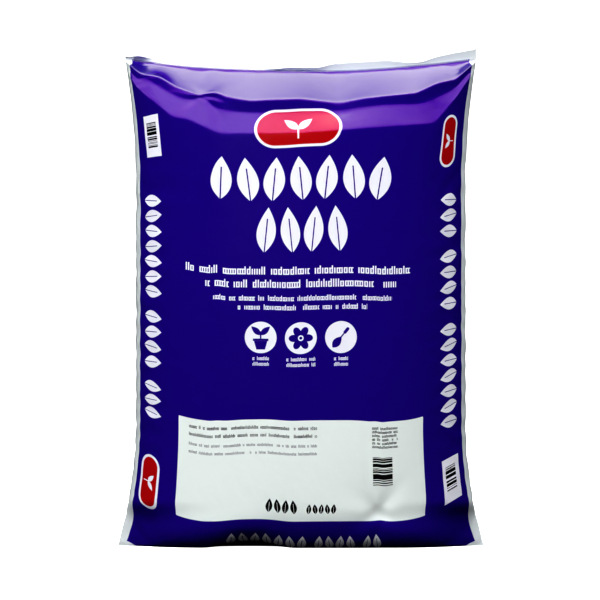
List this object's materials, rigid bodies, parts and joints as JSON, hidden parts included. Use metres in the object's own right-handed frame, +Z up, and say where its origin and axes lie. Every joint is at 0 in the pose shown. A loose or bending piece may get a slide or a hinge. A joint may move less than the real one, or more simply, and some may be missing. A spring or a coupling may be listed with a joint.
{
  "type": "compost bag",
  "caption": "Filled pillow bag of compost in printed plastic film, upright on its flattened bottom, with flared lower corners, a creased shoulder and a flat sealed fin across the top.",
  "frame": {"origin": "on the floor, under the middle of the bag's box", "axes": "+Z up along the bag's height, -Y towards the viewer of the printed front, +X to the right of that viewer"},
  "size_m": [0.45, 0.132, 0.61],
  "materials": {
    "printed_film": "glossy printed polyethylene film, deep violet with white margins and a pale panel"
  },
  "bodies": {
    "root": {"bag": "printed_film"}
  },
  "joints": []
}
